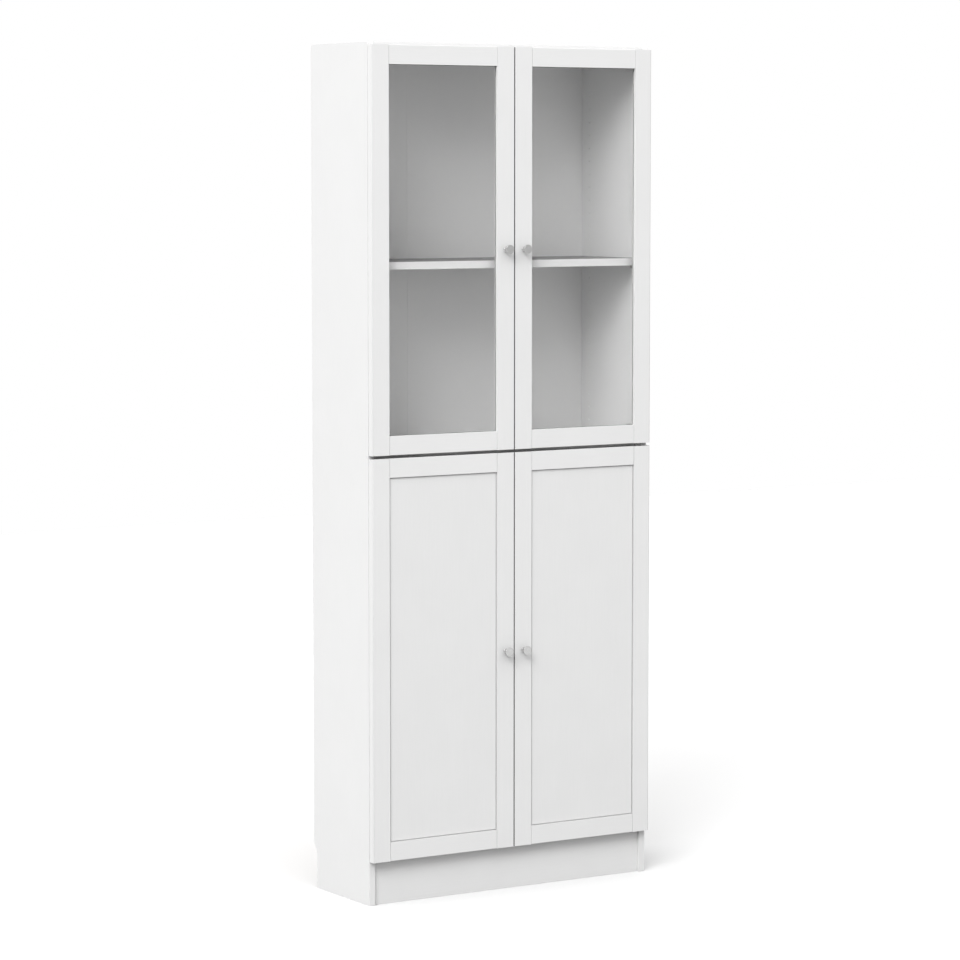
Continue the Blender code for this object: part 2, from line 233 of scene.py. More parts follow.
def except_for(tree, kind, usual, other):
    """The usual colour, and a fixed other one for the named kind of ray."""
    rays = tree.nodes.new("ShaderNodeLightPath")
    mix = tree.nodes.new("ShaderNodeMix")
    mix.data_type = "RGBA"
    tree.links.new(rays.outputs[kind], mix.inputs["Factor"])
    tree.links.new(usual, mix.inputs["A"])
    mix.inputs["B"].default_value = (*other, 1.0)
    return mix.outputs["Result"]


def foil_material(name, colour, grain_axis, roughness=0.40):
    """Foil on board: a faint pressed grain along one axis, fine orange peel and slight mottling."""
    material, tree, shader = start_material(name, colour, roughness)
    shader.inputs["Specular IOR Level"].default_value = 0.3
    stretch = [1.0, 1.0, 1.0]
    stretch[grain_axis] = 0.04
    plain = object_place(tree)
    grain = noise(tree, object_place(tree, stretch), 420.0, 3.0, 0.6)
    mottle = noise(tree, plain, 9.0, 3.0)
    peel = noise(tree, plain, 1500.0, 1.0)
    streak = weighted_sum(tree, grain, 0.5, spread(tree, mottle, 0.15, 0.35))
    tone_by(tree, shader, streak, shaded(colour, 0.975), colour, 0.35, 0.65)
    rough = spread(tree, grain, roughness - 0.04, roughness + 0.06)
    tree.links.new(rough, shader.inputs["Roughness"])
    relief(tree, shader, ((grain, 0.35, 0.00012), (peel, 0.20, 0.00004)))
    return material


def chipboard_material():
    """Raw particle board, seen where the skirting notch is cut."""
    pale, dark = (0.52, 0.38, 0.24), (0.30, 0.19, 0.10)
    material, tree, shader = start_material("raw_chipboard", pale, 0.85)
    place = object_place(tree, (1.0, 1.0, 2.2))
    chips = tree.nodes.new("ShaderNodeTexVoronoi")
    chips.inputs["Scale"].default_value = 420.0
    tree.links.new(place, chips.inputs["Vector"])
    tone_by(tree, shader, chips.outputs["Distance"], dark, pale, 0.1, 0.8)
    relief(tree, shader, ((chips.outputs["Distance"], 0.6, 0.0004),))
    return material


def hardboard_material():
    """The bare brown rear face of the back board: pressed fibre with a fine screen texture."""
    pale, dark = (0.36, 0.23, 0.13), (0.23, 0.135, 0.07)
    material, tree, shader = start_material("bare_hardboard", pale, 0.72)
    place = object_place(tree)
    clouds = noise(tree, place, 7.0, 5.0, 0.65)
    fibres = noise(tree, object_place(tree, (1.0, 1.0, 0.35)), 260.0, 4.0, 0.7)
    flecks = noise(tree, place, 900.0, 2.0)
    pattern = weighted_sum(tree, fibres, 0.6, spread(tree, clouds, 0.0, 0.4))
    tone_by(tree, shader, pattern, dark, pale, 0.25, 0.75)
    relief(tree, shader, ((flecks, 0.5, 0.0002), (fibres, 0.4, 0.0002)))
    return material


def glass_material():
    """Clear float glass with a slight wave. Rays to the lamps pass through it with some loss."""
    tint, lamp_share = 0.988, 0.83
    material, tree, shader = start_material("clear_float_glass", (tint, tint, tint), 0.0)
    shader.inputs["Transmission Weight"].default_value = 1.0
    shader.inputs["IOR"].default_value = 1.5
    wave = noise(tree, object_place(tree, (1.0, 1.0, 0.5)), 3.0, 1.0)
    relief(tree, shader, ((wave, 0.02, 0.002),))
    through = tree.nodes.new("ShaderNodeBsdfTransparent")
    through.inputs["Color"].default_value = (lamp_share, lamp_share, lamp_share, 1.0)
    rays = tree.nodes.new("ShaderNodeLightPath")
    mix = tree.nodes.new("ShaderNodeMixShader")
    output = tree.nodes["Material Output"]
    tree.links.new(rays.outputs["Is Shadow Ray"], mix.inputs["Fac"])
    tree.links.new(shader.outputs["BSDF"], mix.inputs[1])
    tree.links.new(through.outputs["BSDF"], mix.inputs[2])
    tree.links.new(mix.outputs["Shader"], output.inputs["Surface"])
    return material


def turned_metal_material():
    """Satin metal with the fine rings that turning leaves round the local Y axis."""
    colour = (0.63, 0.63, 0.625)
    material, tree, shader = start_material("satin_turned_metal", colour, 0.24, 1.0)
    coordinates = tree.nodes.new("ShaderNodeTexCoord")
    rings = tree.nodes.new("ShaderNodeTexWave")
    rings.wave_type = "RINGS"
    rings.rings_direction = "Y"
    rings.inputs["Scale"].default_value = 900.0
    rings.inputs["Distortion"].default_value = 0.6
    tree.links.new(coordinates.outputs["Object"], rings.inputs["Vector"])
    smudge = noise(tree, coordinates.outputs["Object"], 160.0, 3.0)
    tone_by(tree, shader, smudge, shaded(colour, 0.9), colour)
    tree.links.new(spread(tree, smudge, 0.30, 0.37), shader.inputs["Roughness"])
    relief(tree, shader, ((rings.outputs["Fac"], 0.10, 0.00002),))
    return material


def nickel_material():
    """Nickel-plated pressed steel with faint drawing marks."""
    colour = (0.62, 0.61, 0.59)
    material, tree, shader = start_material("nickel_plated_steel", colour, 0.25, 1.0)
    marks = noise(tree, object_place(tree, (1.0, 0.12, 1.0)), 700.0, 3.0)
    spots = noise(tree, object_place(tree), 90.0, 3.0)
    tone_by(tree, shader, spots, shaded(colour, 0.85), colour)
    tree.links.new(spread(tree, marks, 0.20, 0.34), shader.inputs["Roughness"])
    relief(tree, shader, ((marks, 0.2, 0.00003),))
    return material


def plastic_material(name, colour, roughness=0.45):
    """Moulded plastic, or cast metal, of one colour with a fine grain."""
    material, tree, shader = start_material(name, colour, roughness)
    grain = noise(tree, object_place(tree), 1300.0, 2.0)
    tree.links.new(spread(tree, grain, roughness - 0.05, roughness + 0.08), shader.inputs["Roughness"])
    tone_by(tree, shader, grain, shaded(colour, 0.96), colour)
    relief(tree, shader, ((grain, 0.3, 0.00004),))
    return material


def floor_material():
    """Pale studio floor with barely visible mottling, which throws back only part of its light."""
    colour, bounce = (0.77, 0.77, 0.77), (0.22, 0.22, 0.22)
    material, tree, shader = start_material("pale_floor", colour, 0.9)
    shader.inputs["Specular IOR Level"].default_value = 0.0
    cloud = noise(tree, object_place(tree), 1.5, 3.0)
    tone = two_tone(tree, spread(tree, cloud, 0.0, 1.0), shaded(colour, 0.995), colour)
    tree.links.new(except_for(tree, "Is Diffuse Ray", tone, bounce), shader.inputs["Base Color"])
    return material


WHITE = (0.845, 0.845, 0.843)
LOOKS = {
    "board_x": foil_material("white_foil_grain_across", WHITE, 0),
    "board_z": foil_material("white_foil_grain_upright", WHITE, 2),
    "frame_x": foil_material("white_frame_grain_across", WHITE, 0, 0.48),
    "frame_z": foil_material("white_frame_grain_upright", WHITE, 2, 0.48),
    # painted shade: the sides of the lower openings, darker than the frame foil
    "lip": foil_material("opening_sides_painted_shade", shaded(WHITE, 0.78), 2, 0.6),
    # painted shade: the door edges along the gaps between doors, dark like the shade in the gaps
    "edge": foil_material("door_gap_painted_shade", shaded(WHITE, 0.36), 2, 0.6),
    # painted shade: the front faces of the boards and the rounded outer door edges, a little darker
    "painted_shade_front": foil_material("front_edge_painted_shade", shaded(WHITE, 0.88), 0, 0.55),
    # painted shade: the top of the upper shelf, dark as if in shadow
    "painted_shade_on_shelf": foil_material("upper_shelf_painted_shade", shaded(WHITE, 0.34), 0, 0.8),
    "panel": foil_material("white_infill_panel", shaded(WHITE, 0.985), 2, 0.42),
    "back_front": foil_material("white_back_foil", shaded(WHITE, 0.96), 2, 0.55),
    "chipboard": chipboard_material(),
    "hardboard": hardboard_material(),
    "glass": glass_material(),
    "knob": turned_metal_material(),
    "steel": nickel_material(),
    "bead": plastic_material("white_bead_plastic", (0.80, 0.80, 0.79)),
    "cam": plastic_material("grey_cam_metal", (0.45, 0.45, 0.44), 0.35),
    # a real glazing seal, made near black so that it paints the shadow line at the glass
    "seal": plastic_material("glazing_seal_painted_shade", (0.09, 0.09, 0.09), 0.7),
    "tape": plastic_material("white_fold_tape", (0.72, 0.71, 0.68), 0.5),
    "floor": floor_material(),
}


# ---- mesh tools


def new_object(name, data):
    obj = bpy.data.objects.new(name, data)
    bpy.context.scene.collection.objects.link(obj)
    return obj


def link(name, mesh, *materials):
    obj = new_object(name, mesh)
    for material in materials:
        mesh.materials.append(LOOKS[material])
    return obj


def mesh_from(shape, name):
    mesh = bpy.data.meshes.new(name)
    shape.normal_update()
    shape.to_mesh(mesh)
    shape.free()
    return mesh


def soften(obj, angle):
    """Smooth shading that keeps broad faces flat and edges over the angle sharp."""
    obj.data.shade_smooth()
    obj.data.set_sharp_from_angle(angle=math.radians(angle))
    weighted = obj.modifiers.new("flat faces", "WEIGHTED_NORMAL")
    weighted.keep_sharp = True
    weighted.weight = 100


def box_shape(low, high):
    shape = bmesh.new()
    low, high = Vector(low), Vector(high)
    place = Matrix.Translation((low + high) / 2) @ Matrix.Diagonal((*(high - low), 1.0))
    bmesh.ops.create_cube(shape, size=1.0, matrix=place)
    return shape


def round_edges(shape, chosen, width, segments):
    bmesh.ops.bevel(
        shape, geom=chosen, offset=width, segments=segments, profile=0.5, affect="EDGES", clamp_overlap=True
    )


def sharp_edges(shape, angle=60.0):
    limit = math.radians(angle)
    return [edge for edge in shape.edges if edge.is_manifold and edge.calc_face_angle(0.0) > limit]


def prism_shape(outline, length, place):
    """A flat outline in local X and Y, extruded by length along local Z and then placed."""
    shape = bmesh.new()
    corners = [shape.verts.new((x, y, -length / 2)) for x, y in outline]
    face = shape.faces.new(corners)
    grown = bmesh.ops.extrude_face_region(shape, geom=[face])
    raised = [item for item in grown["geom"] if isinstance(item, bmesh.types.BMVert)]
    bmesh.ops.translate(shape, vec=(0.0, 0.0, length), verts=raised)
    bmesh.ops.recalc_face_normals(shape, faces=shape.faces)
    bmesh.ops.transform(shape, matrix=place, verts=shape.verts)
    return shape


def cross_shape(arm, half, depth, place):
    """A cross in local X and Y that reaches depth above and below its middle."""
    outline = []
    for turn in range(4):
        along = Vector((1.0, 0.0)) if turn % 2 == 0 else Vector((0.0, 1.0))
        along *= 1.0 if turn < 2 else -1.0
        across = Vector((-along.y, along.x))
        outline += [along * arm - across * half, along * arm + across * half, (along + across) * half]
    return prism_shape([(x, y) for x, y in outline], 2 * depth, place)


def quarter(steps, first=0):
    """Sine and cosine of the angles that divide a quarter turn into steps, from the first one on."""
    angles = [math.pi / 2 * step / steps for step in range(first, steps + 1)]
    return [(math.sin(angle), math.cos(angle)) for angle in angles]


def toward_rear(spot):
    """A placing matrix whose local Z points to the rear."""
    return Matrix.Translation(spot) @ Matrix.Rotation(-math.pi / 2, 4, "X")


def toward_front(spot):
    """A placing matrix whose local Z points to the front."""
    return Matrix.Translation(spot) @ Matrix.Rotation(math.pi / 2, 4, "X")


def turned_shape(profile, steps, place):
    """A (radius, height) profile that starts and ends on the axis, turned about local Z and placed."""
    shape = bmesh.new()
    points = [shape.verts.new((radius, 0.0, height)) for radius, height in profile]
    edges = [shape.edges.new(pair) for pair in zip(points, points[1:])]
    full = 2 * math.pi
    bmesh.ops.spin(
        shape, geom=points + edges, cent=(0, 0, 0), axis=(0, 0, 1), angle=full, steps=steps, use_merge=True
    )
    bmesh.ops.remove_doubles(shape, verts=shape.verts, dist=SAME_POINT)
    bmesh.ops.recalc_face_normals(shape, faces=shape.faces)
    bmesh.ops.transform(shape, matrix=place, verts=shape.verts)
    return shape


def add_shape(target, extra):
    """Adds the faces of one shape to another as a separate body."""
    holder = bpy.data.meshes.new("holder")
    extra.to_mesh(holder)
    extra.free()
    target.from_mesh(holder)
    bpy.data.meshes.remove(holder)


def drill_shape(holes, radius, depth, axis):
    """Closed cylinders along an axis letter, each centred on a place, as one cutter."""
    turn = Matrix.Rotation(math.pi / 2, 4, "Y" if axis == "X" else "X")
    shape = bmesh.new()
    for hole in holes:
        bmesh.ops.create_cone(
            shape,
            cap_ends=True,
            segments=HOLE_SIDES if radius < BORE_RADIUS else BORE_SIDES,
            radius1=radius,
            radius2=radius,
            depth=depth,
            matrix=Matrix.Translation(hole) @ turn,
        )
    return shape


def carve(obj, *cutters):
    """Cuts shapes from an object and keeps only the finished mesh."""
    helpers = []
    for number, cutter in enumerate(cutters):
        mesh = mesh_from(cutter, f"{obj.name}_cutter_{number}")
        helper = new_object(mesh.name, mesh)
        helpers.append(helper)
        boolean = obj.modifiers.new(helper.name, "BOOLEAN")
        boolean.operation = "DIFFERENCE"
        boolean.solver = "EXACT"
        boolean.object = helper
    bpy.context.view_layer.update()
    graph = bpy.context.evaluated_depsgraph_get()
    finished = bpy.data.meshes.new_from_object(obj.evaluated_get(graph))
    obj.modifiers.clear()
    obj.data = finished
    for helper in helpers:
        bpy.data.objects.remove(helper, do_unlink=True)


def rounded_outline(width, height, radius):
    """A rectangle about the origin with round corners."""
    steps = 5
    outline = []
    for turn, (across, along) in enumerate(((1, 1), (-1, 1), (-1, -1), (1, -1))):
        for step in range(steps + 1):
            angle = math.pi / 2 * (turn + step / steps)
            x = across * (width / 2 - radius) + radius * math.cos(angle)
            y = along * (height / 2 - radius) + radius * math.sin(angle)
            outline.append((x, y))
    return outline


def join_rings(shape, rings):
    """Closes a loop of rings, each with the same number of points, into one solid."""
    count = len(rings[0])
    for ring, following in zip(rings, rings[1:] + rings[:1]):
        for index in range(count):
            after = (index + 1) % count
            shape.faces.new((ring[index], following[index], following[after], ring[after]))
    bmesh.ops.recalc_face_normals(shape, faces=shape.faces)


def settle(obj, body, slot, *nodes, angle=SHARP_ANGLE):
    """Shades a finished piece and hangs it on its body; its finish is not used, and the nodes it stands for
    are hidden.
    """
    soften(obj, angle)
    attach(obj, body)
    if nodes:
        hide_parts(*nodes)


def add_piece(shape, name, look, body, slot, *nodes):
    """Makes a whole piece in one look from a shape that needs no cutting."""
    settle(link(name, mesh_from(shape, name), look), body, slot, *nodes)


# ---- carcass


def pin_hole_heights(pin_height):
    """Heights of the holes above and below one used pin, away from the shelf and the ends."""
    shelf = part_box("fixed_shelf")[0].z
    heights = []
    for step in range(-PIN_STEPS, PIN_STEPS + 1):
        height = pin_height + step * PIN_PITCH
        clear_of_shelf = abs(height - shelf) > CLEAR_SHELF
        if CLEAR_FOOT < height < HEIGHT - CLEAR_TOP and clear_of_shelf:
            heights.append(height)
    return heights


def pin_holes(side, sign):
    """Centres of the pin holes in the inner face of a side board."""
    inner = sign * INNER_HALF_WIDTH
    pin_low, pin_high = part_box(f"upper_{side}_back_shelf_pin")
    pin_height = (pin_low.z + pin_high.z) / 2
    holes = []
    for column in PIN_HOLE_COLUMNS:
        for height in pin_hole_heights(pin_height):
            if column == PIN_HOLE_COLUMNS[0] and near_hinge(height):
                continue
            holes.append((inner, CARCASS_FRONT + column, height))
    return holes


def make_side(side, sign):
    low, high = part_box("side_" + side)
    depth = high.y - low.y
    cut = depth - NOTCH_DEPTH
    foot = ((0.0, 0.0), (cut, 0.0), (cut, NOTCH_LOW), (depth, NOTCH_HIGH))
    outline = (*foot, (depth, HEIGHT), (0.0, HEIGHT))
    middle = (low.x + high.x) / 2
    upright = Matrix(((0, 0, 1, middle), (1, 0, 0, low.y), (0, 1, 0, 0), (0, 0, 0, 1)))
    shape = prism_shape(outline, high.x - low.x, upright)
    round_edges(shape, sharp_edges(shape, NOTCH_EDGE_ANGLE), BOARD_ROUND, 2)
    piece = link("side_board_" + side, mesh_from(shape, "side_board_" + side), "board_z", "chipboard")
    carve(piece, drill_shape(pin_holes(side, sign), PIN_HOLE_RADIUS, 2 * PIN_HOLE_DEPTH, "X"))
    paint_faces(piece, raw_notch, 1)
    settle(piece, "root", "board", "side_" + side)


def near_hinge(height):
    """True where a hinge plate covers the front column of holes."""
    for level in LEVELS:
        for end in ENDS:
            low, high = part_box(f"{level}_left_{end}_hinge_arm")
            if low.z - CLEAR_HINGE < height < high.z + CLEAR_HINGE:
                return True
    return False


def raw_notch(face):
    """True for the bare cut faces of a side board's skirting notch."""
    inside = SIDE_BACK - BOARD_ROUND / 2
    return face.normal.y > 0.5 and face.center.z < NOTCH_HIGH and face.center.y < inside


def paint_faces(piece, chosen, slot):
    """Gives another material slot to the faces that a test picks."""
    for face in piece.data.polygons:
        if chosen(face):
            face.material_index = slot


def make_board(node, name):
    low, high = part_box(node)
    shape = box_shape(low, high)
    round_edges(shape, list(shape.edges), BOARD_ROUND, 2)
    piece = link(name, mesh_from(shape, name), "board_x", "painted_shade_front", "painted_shade_on_shelf")
    # Painted shade on the front faces of the boards
    if node != "plinth":
        paint_faces(piece, lambda face: face.normal.y < -0.3, 1)
    # Painted shade on the upper shelf's top face
    if node == "upper_shelf":
        paint_faces(piece, lambda face: face.normal.z > 0.9, 2)
    settle(piece, "root", "board", node)


def make_cam_locks():
    """Cam discs on the undersides of the fixed boards, near their ends."""
    radius, thickness, slot_width, slot_depth = 0.0075, 0.0012, 0.0016, 0.0007
    inset, fronts, gap, slot_share = 0.034, (0.050, 0.205), 0.0001, 0.75
    rim = [(radius - 0.0004, thickness), (radius, thickness - 0.0003), (radius, 0.0)]
    profile = [(0.0, thickness), *rim, (0.0, 0.0)]
    for node in ("top_panel", "fixed_shelf", "bottom_panel"):
        low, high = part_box(node)
        body, slots = bmesh.new(), bmesh.new()
        for sign in (-1, 1):
            for front in fronts:
                spot = Vector((sign * (high.x - inset), low.y + front, low.z - gap))
                flip = Matrix.Translation(spot) @ Matrix.Rotation(math.pi, 4, "X")
                add_shape(body, turned_shape(profile, 32, flip))
                bottom = Matrix.Translation(spot - Vector((0.0, 0.0, thickness)))
                add_shape(slots, cross_shape(radius * slot_share, slot_width / 2, slot_depth, bottom))
        name = node + "_cam_locks"
        piece = link(name, mesh_from(body, name), "cam")
        carve(piece, slots)
        settle(piece, "root", "steel")


def make_back():
    low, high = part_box("back_panel")
    half = high.x
    fold, groove = 0.0012, 0.0006
    outline = [(-half, low.y)]
    for middle in (-half / 3, half / 3):
        outline += [(middle - fold / 2, low.y), (middle, low.y + groove), (middle + fold / 2, low.y)]
    outline += [(half, low.y), (half, high.y), (-half, high.y)]
    place = Matrix.Translation((0.0, 0.0, (low.z + high.z) / 2))
    shape = prism_shape(outline, high.z - low.z, place)
    piece = link("back_board", mesh_from(shape, "back_board"), "back_front", "hardboard")
    paint_faces(piece, lambda face: face.normal.y > 0.5, 1)
    settle(piece, "root", "hardboard", "back_panel")
    make_back_tapes(half, low, high)
    make_back_nails(half, low, high)


def make_back_tapes(half, low, high):
    """Tape strips over the two folds, on the rear face, bevelled and creased along the middle."""
    width, thickness, crease = 0.024, 0.00025, 0.0008
    sunk, short = 0.00005, 0.004
    body = bmesh.new()
    for middle in (-half / 3, half / 3):
        outline = (
            (middle - width / 2, 0.0),
            (middle + width / 2, 0.0),
            (middle + width / 2 - thickness, thickness),
            (middle + crease, thickness),
            (middle, thickness / 2),
            (middle - crease, thickness),
            (middle - width / 2 + thickness, thickness),
        )
        place = Matrix.Translation((0.0, high.y - sunk, (low.z + high.z) / 2))
        add_shape(body, prism_shape(outline, high.z - low.z - short, place))
    add_piece(body, "back_fold_tapes", "tape", "root", "hardboard")


def make_back_nails(half, low, high):
    """Small round nail heads along the edges and the fixed shelf."""
    head, rise, inset, spacing = 0.0021, 0.0006, 0.007, 0.118
    spots = []
    tall, wide = high.z - low.z - 2 * inset, 2 * half - 2 * inset
    uprights = int(tall / spacing)
    for number in range(uprights + 1):
        height = low.z + inset + tall * number / uprights
        spots += [(-half + inset, height), (half - inset, height)]
    shelf_low, shelf_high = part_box("fixed_shelf")
    levels = (low.z + inset / 2, (shelf_low.z + shelf_high.z) / 2, high.z - inset)
    columns = int(wide / spacing)
    for number in range(1, columns):
        across = -half + inset + wide * number / columns
        spots += [(across, height) for height in levels]
    under, sunk = head * 0.95, 0.0001
    profile = [(0.0, rise)]
    profile += [(head * sine, rise * cosine) for sine, cosine in quarter(4, 1)]
    profile += [(under, -sunk), (0.0, -sunk)]
    body = bmesh.new()
    for across, height in spots:
        add_shape(body, turned_shape(profile, 14, toward_rear((across, high.y, height))))
    add_piece(body, "back_nails", "steel", "root", "steel")


def make_shelf_pin(node, sign):
    """Turned pin: a shank in its hole, a thin collar and a peg with a rounded end under the shelf."""
    low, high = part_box(node)
    peg = (high.z - low.z) / 2
    reach = INNER_HALF_WIDTH - min(abs(low.x), abs(high.x))
    soft, groove = 0.0012, 0.0003
    shank, shank_end = 0.0018, 0.0014
    profile = [(0.0, reach)]
    for sine, cosine in quarter(4):
        profile.append((peg - soft + soft * sine, reach - soft + soft * cosine))
    profile += [(peg, 0.0022), (peg - groove, 0.0019), (peg - groove, 0.0014), (peg, 0.0011)]
    profile += [(peg, 0.0003), (shank, 0.0003), (shank, -0.0016), (shank_end, -0.0020), (0.0, -0.0020)]
    spot = (sign * INNER_HALF_WIDTH, (low.y + high.y) / 2, (low.z + high.z) / 2)
    place = Matrix.Translation(spot) @ Matrix.Rotation(-sign * math.pi / 2, 4, "Y")
    add_piece(turned_shape(profile, 28, place), "turned_" + node, "steel", "root", "steel", node)


def make_shelf_pins():
    for level in LEVELS:
        for side, sign in SIDES:
            for end in ("front", "back"):
                make_shelf_pin(f"{level}_{side}_{end}_shelf_pin", sign)


# ---- doors


class Door:
    """Measures of one door, read from its frame nodes."""

    def __init__(self, level, side, sign):
        self.level, self.sign = level, sign
        self.prefix = f"{level}_{side}_"
        self.body = self.prefix + "door"
        self.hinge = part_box(self.prefix + "hinge_stile")
        self.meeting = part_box(self.prefix + "meeting_stile")
        inner = sorted((self.hinge, self.meeting), key=lambda box: box[0].x)
        self.window_left = inner[0][1].x
        self.window_right = inner[1][0].x
        self.window_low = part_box(self.prefix + "bottom_rail")[1].z
        self.window_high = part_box(self.prefix + "top_rail")[0].z
        outer = self.hinge[1].x if sign > 0 else self.hinge[0].x
        self.cup_x = outer - sign * CUP_INSET

    def faces_opening(self, face):
        """True for a side of the opening, in front of the rebate."""
        if face.center.y > DOOR_FRONT + FRAME_LIP:
            return False
        x, z = face.center.x, face.center.z
        beside = min(abs(x - self.window_left), abs(x - self.window_right)) < SAME_PLANE
        above = min(abs(z - self.window_low), abs(z - self.window_high)) < SAME_PLANE
        return beside and abs(face.normal.x) > 0.9 or above and abs(face.normal.z) > 0.9

    def faces_other_door(self, face):
        """True for an edge that lies along the gap to the next door."""
        meeting = self.meeting[0].x if self.sign > 0 else self.meeting[1].x
        level = self.hinge[0].z if self.level == "upper" else self.hinge[1].z
        beside = abs(face.center.x - meeting) < SAME_PLANE and abs(face.normal.x) > 0.9
        above = abs(face.center.z - level) < SAME_PLANE and abs(face.normal.z) > 0.9
        return beside or above

    def faces_corner(self, face):
        """True on the middle of the rounded front edge at the door's outer side."""
        return 0.25 < -self.sign * face.normal.x * face.normal.y < 0.6

    def cup_height(self, end):
        low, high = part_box(f"{self.prefix}{end}_hinge_cup")
        return (low.z + high.z) / 2


def rebate_shape(door):
    past = 0.001
    low = (door.window_left - REBATE_WIDTH, DOOR_FRONT + FRAME_LIP, door.window_low - REBATE_WIDTH)
    high = (door.window_right + REBATE_WIDTH, DOOR_BACK + past, door.window_high + REBATE_WIDTH)
    return box_shape(low, high)


def member_shape(node, rounded):
    """The block of a stile or rail. Each (axis, end, radius) rounds the front edge at that end of
    the axis, and the other edges get a small arris."""
    low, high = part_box(node)
    if node.endswith("rail"):
        low.x += LEFT_SEAM
        high.x -= RIGHT_SEAM
        low.y += RAIL_STEP
    shape = box_shape(low, high)
    limits = (low, high)
    for axis, end, radius in rounded:
        chosen = []
        for edge in shape.edges:
            at_front = all(abs(vert.co.y - low.y) < SAME_POINT for vert in edge.verts)
            on_side = all(abs(vert.co[axis] - limits[end][axis]) < SAME_POINT for vert in edge.verts)
            if at_front and on_side:
                chosen.append(edge)
        round_edges(shape, chosen, radius, 8)
    round_edges(shape, sharp_edges(shape), ARRIS, 2)
    return shape


def make_frame_member(door, member, look, rounded):
    """A stile or rail with its rebate, and its bores for the cups or the knob's screw."""
    node = door.prefix + member
    name = node.replace("stile", "stile_board").replace("rail", "rail_board")
    piece = link(name, mesh_from(member_shape(node, rounded), name), look, "lip", "edge", "painted_shade_front")
    cutters = [rebate_shape(door)]
    if member == "hinge_stile":
        cups = [(door.cup_x, DOOR_BACK, door.cup_height(end)) for end in ENDS]
        cutters.append(drill_shape(cups, CUP_RADIUS, 2 * CUP_BORE, "Y"))
    if member == "meeting_stile":
        knob_low, knob_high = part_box(door.prefix + "knob")
        middle = (knob_low + knob_high) / 2
        hole = (middle.x, DOOR_BACK, middle.z)
        cutters.append(drill_shape([hole], KNOB_HOLE_RADIUS, 2 * KNOB_HOLE_DEPTH, "Y"))
    carve(piece, *cutters)
    # Painted shade on the sides of the lower openings
    if door.level == "lower":
        paint_faces(piece, door.faces_opening, 1)
    # Painted shade on the edges along the gap to the next door
    paint_faces(piece, door.faces_other_door, 2)
    # Painted shade that dims the highlight on the rounded outer edge
    if member == "hinge_stile":
        paint_faces(piece, door.faces_corner, 3)
    settle(piece, door.body, "frame", node)


def make_door_frame(door):
    outer_end = 1 if door.sign > 0 else 0
    outer_side, meeting_side = (0, outer_end, DOOR_EDGE_ROUND), (0, 1 - outer_end, MEETING_ROUND)
    low_end, high_end = (2, 0, LEVEL_ROUND), (2, 1, LEVEL_ROUND)
    make_frame_member(door, "hinge_stile", "frame_z", (outer_side, low_end, high_end))
    make_frame_member(door, "meeting_stile", "frame_z", (meeting_side, low_end, high_end))
    make_frame_member(door, "top_rail", "frame_x", (high_end,))
    make_frame_member(door, "bottom_rail", "frame_x", (low_end,))


def window_ring(door, inner, outer, y_low, y_high):
    """A flat frame along the edge of the door's opening, from outer outside it to inner inside it.
    Inner holds its reach from the left, right, lower and upper edges."""
    left, right = door.window_left, door.window_right
    low, high = door.window_low, door.window_high
    from_left, from_right, from_low, from_high = inner
    shape = bmesh.new()
    rings = []
    outside = (left - outer, right + outer, low - outer, high + outer)
    inside = (left + from_left, right - from_right, low + from_low, high - from_high)
    for x, z in ((0, 2), (1, 2), (1, 3), (0, 3)):
        section = ((outside, y_low), (inside, y_low), (inside, y_high), (outside, y_high))
        rings.append([shape.verts.new((limits[x], y, limits[z])) for limits, y in section])
    join_rings(shape, rings)
    return shape


def make_glazing(door):
    """The pane keeps its CAD solid and is sealed to the frame's lip."""
    play = 0.00005
    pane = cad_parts[door.prefix + "glass_pane"]
    pane.data.materials.clear()
    pane.data.materials.append(LOOKS["glass"])
    seal_front = DOOR_FRONT + FRAME_LIP + play
    seal_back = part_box(door.prefix + "glass_pane")[0].y - play
    # The seal is near black so that it paints the shadow line where the glass meets the lip
    seal = window_ring(door, 4 * (SEAL_REACH,), SEAL_WIDTH, seal_front, seal_back)
    add_piece(seal, door.prefix + "glass_seal_painted_shade", "seal", door.body, "frame")


def make_infill(door):
    """Lower panel with a raised field, and a gap between the field and the frame."""
    past = 0.001
    node = door.prefix + "infill_panel"
    low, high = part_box(node)
    front = low.y - FIELD_RISE
    name = door.prefix + "infill_board"
    piece = link(name, mesh_from(box_shape((low.x, front, low.z), high), name), "panel")
    carve(piece, window_ring(door, FIELD_GAPS, 2 * REBATE_WIDTH, front - past, low.y))
    shape = bmesh.new()
    shape.from_mesh(piece.data)
    rim = []
    for edge in sharp_edges(shape):
        if all(abs(vert.co.y - front) < SAME_POINT for vert in edge.verts):
            rim.append(edge)
    round_edges(shape, rim, FIELD_ROUND, 2)
    shape.to_mesh(piece.data)
    shape.free()
    settle(piece, door.body, "panel", node)


def make_beads(door):
    """Glazing beads round the back of the pane or panel: four mitred lengths with a rounded inner edge."""
    insert = door.prefix + ("glass_pane" if door.level == "upper" else "infill_panel")
    reach, play, flush, straight = 0.0075, 0.0003, 0.0004, 0.2
    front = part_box(insert)[1].y + play
    back = DOOR_BACK - flush
    left = door.window_left - REBATE_WIDTH + play
    right = door.window_right + REBATE_WIDTH - play
    low = door.window_low - REBATE_WIDTH + play
    high = door.window_high + REBATE_WIDTH - play
    depth, curved = back - front, 1.0 - straight
    section = [(0.0, front), (reach, front)]
    for sine, cosine in quarter(4):
        inset = reach - depth * curved * (1 - cosine)
        section.append((inset, front + depth * (straight + curved * sine)))
    section.append((0.0, back))
    shape = bmesh.new()
    rings = []
    corners = ((1, 1, left, low), (-1, 1, right, low), (-1, -1, right, high), (1, -1, left, high))
    for across, up, x, z in corners:
        places = [(x + across * inset, y, z + up * inset) for inset, y in section]
        rings.append([shape.verts.new(place) for place in places])
    join_rings(shape, rings)
    add_piece(shape, door.prefix + "glazing_beads", "bead", door.body, "frame")


